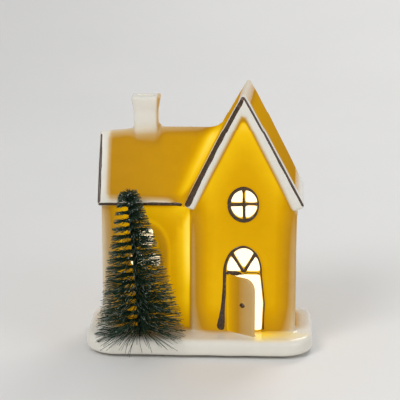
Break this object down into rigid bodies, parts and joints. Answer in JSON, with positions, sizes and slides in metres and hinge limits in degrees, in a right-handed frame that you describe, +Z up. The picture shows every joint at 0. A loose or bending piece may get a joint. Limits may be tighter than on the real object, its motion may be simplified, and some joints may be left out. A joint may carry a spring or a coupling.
{
  "type": "ceramic village house",
  "caption": "Lit porcelain village house with a front gable, a chimney, a door ajar and a bottle-brush tree on a snow base; a battery light unit plugs in from below.",
  "frame": {"origin": "on the table, under the middle of the part's box, with the tree's front bristles counted in it", "axes": "+X to the right of the front, -Y to the front where the door is, +Z up"},
  "size_m": [0.112, 0.0752, 0.1287],
  "materials": {
    "porcelain": "white glaze",
    "lit_porcelain": "thin white glaze, lit amber from inside",
    "soft_pad": "matte",
    "tree_wire": "twisted wire",
    "bristle": "cut filament",
    "housing_plastic": "moulded",
    "grip_silicone": "soft",
    "board": "solder mask",
    "lamp_lens": "clear epoxy",
    "tinned_metal": "tinned",
    "resistor_body": "matte",
    "cell_steel": "nickel plated",
    "contact_brass": "stamped",
    "switch_steel": "stamped",
    "wire_red": "insulated",
    "knob_black": "moulded",
    "brown_paint": "brushed on under the glaze"
  },
  "bodies": {
    "house": {"snow_base": "porcelain", "foot_pads": "soft_pad", "house_walls": "lit_porcelain", "main_roof": "lit_porcelain", "gable_roof": "lit_porcelain", "chimney": "porcelain", "door_leaf": "porcelain", "tree_stem": "tree_wire", "tree_bristles": "bristle"},
    "light_unit": {"light_housing": "housing_plastic", "grip_ring": "grip_silicone", "top_cover": "housing_plastic", "circuit_board": "board", "led_lamp": "lamp_lens", "led_leads": "tinned_metal", "resistor": "resistor_body", "button_cells": "cell_steel", "positive_contact": "contact_brass", "negative_strip": "contact_brass", "switch_case": "switch_steel", "switch_terminals": "tinned_metal", "switch_wires": "wire_red"},
    "battery_cap": {"battery_cap": "housing_plastic", "cap_contact": "contact_brass"},
    "switch_knob": {"switch_knob": "knob_black"}
  },
  "joints": [
    {"name": "light_unit_pull", "type": "slide", "parent": "house", "child": "light_unit", "axis": [0, 0, -1], "range_m": [0, 0.034]},
    {"name": "battery_cap_twist", "type": "hinge", "parent": "light_unit", "child": "battery_cap", "pos_m": [0.00116, 0.01225, 0.0025], "axis": [0, 0, 1], "range_deg": [0, 60]},
    {"name": "switch_slide", "type": "slide", "parent": "light_unit", "child": "switch_knob", "axis": [0, 1, 0], "range_m": [0, 0.002]}
  ]
}
